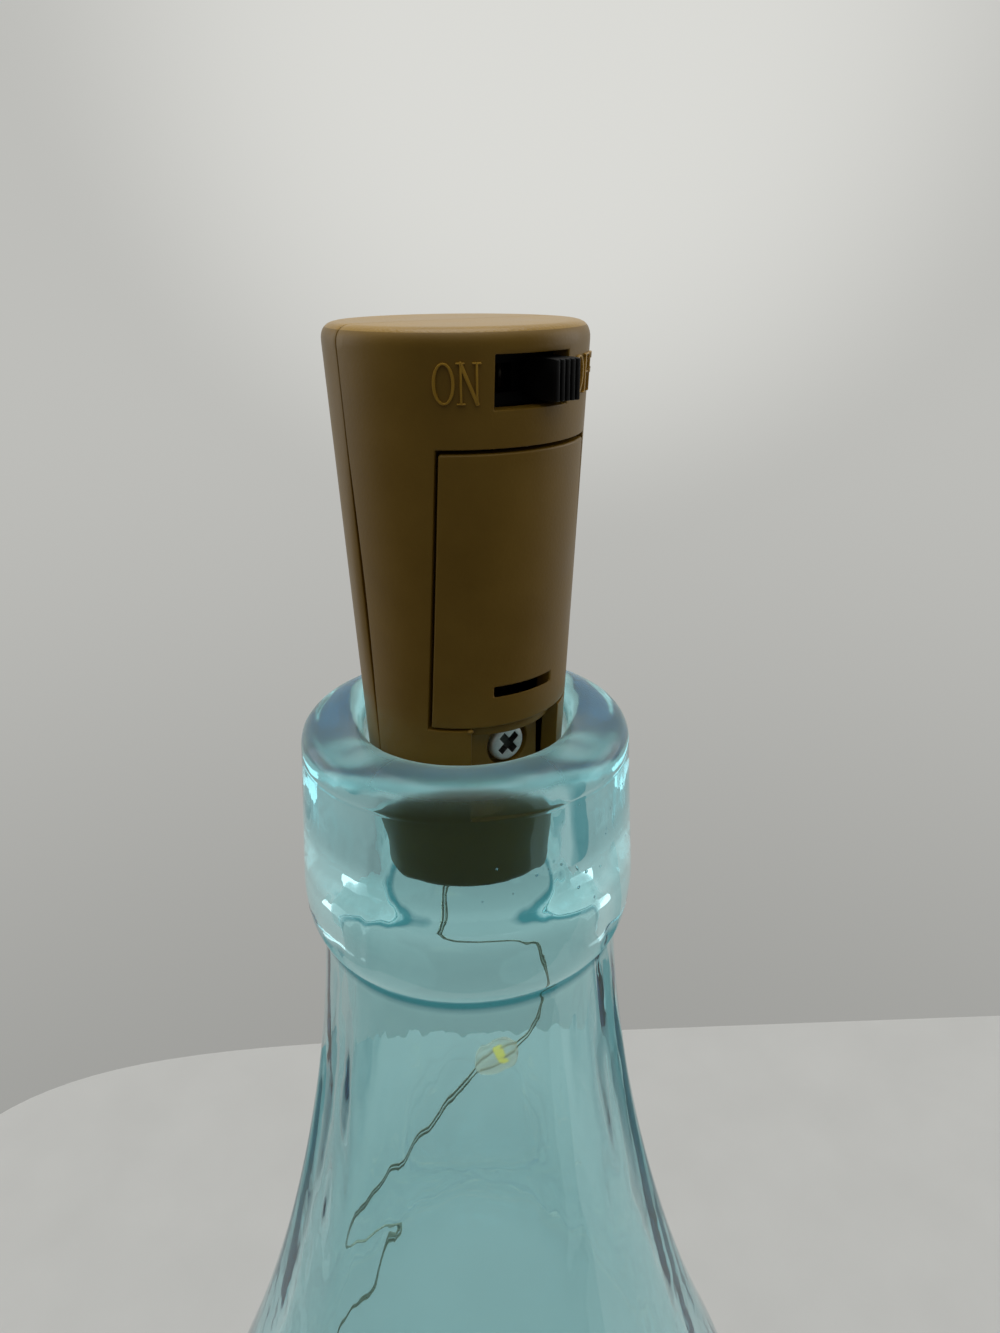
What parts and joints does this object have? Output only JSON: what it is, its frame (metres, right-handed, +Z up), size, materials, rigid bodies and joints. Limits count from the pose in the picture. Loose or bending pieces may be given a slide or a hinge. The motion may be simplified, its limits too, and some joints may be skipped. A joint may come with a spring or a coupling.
{
  "type": "bottle light",
  "caption": "Glass bottle with a collared mouth, a cork-shaped battery stopper with switch and door, and a thin string of LED beads that hangs inside.",
  "frame": {"origin": "centre of the bottle's base, on the surface that it stands on", "axes": "+Z up along the bottle's axis, the stopper's switch and door face -Y"},
  "size_m": [0.082, 0.082, 0.2752],
  "materials": {
    "glass": "clear aqua glass, thick and slightly wavy, with a few small bubbles",
    "case_plastic": "satin tan moulded plastic",
    "black_plastic": "black moulded plastic",
    "steel": "bright plated steel",
    "nickel": "nickel-plated spring strip",
    "board": "green solder mask",
    "phenolic": "brown phenolic board",
    "red_cover": "red wire insulation",
    "black_cover": "black wire insulation",
    "string_wire": "fine lacquered wire, silver",
    "resin": "clear cast resin over a yellow chip",
    "glue": "milky hot-melt glue"
  },
  "bodies": {
    "bottle": {"glass_bottle": "glass", "string_coil": "string_wire", "led_bead_02": "resin", "led_bead_03": "resin", "led_bead_04": "resin", "led_bead_05": "resin", "led_bead_06": "resin", "led_bead_07": "resin", "led_bead_08": "resin", "led_bead_09": "resin", "led_bead_10": "resin"},
    "stopper": {"front_shell": "case_plastic", "rear_shell": "case_plastic", "case_screw": "steel", "switch_can": "black_plastic", "switch_base": "phenolic", "switch_pin_1": "nickel", "switch_pin_2": "nickel", "switch_pin_3": "nickel", "circuit_board": "board", "resistor": "black_plastic", "battery_cell_1": "nickel", "battery_cell_2": "nickel", "battery_cell_3": "nickel", "positive_plate": "nickel", "negative_plate": "nickel", "battery_spring": "steel", "positive_wire": "red_cover", "negative_wire": "black_cover", "string_feed": "string_wire", "string_seal": "glue", "string_lead": "string_wire", "led_bead_01": "resin"},
    "slider": {"switch_slider": "black_plastic", "switch_wiper": "nickel"},
    "door": {"battery_door": "case_plastic"}
  },
  "joints": [
    {"name": "stopper_lift", "type": "slide", "parent": "bottle", "child": "stopper", "axis": [0, 0, 1], "range_m": [0, 0.02]},
    {"name": "switch_slide", "type": "slide", "parent": "stopper", "child": "slider", "axis": [-1, 0, 0], "range_m": [0, 0.0039]},
    {"name": "door_hinge", "type": "hinge", "parent": "stopper", "child": "door", "pos_m": [0, -0.01033, 0.2659], "axis": [-1, 0, 0], "range_deg": [0, 70]}
  ]
}
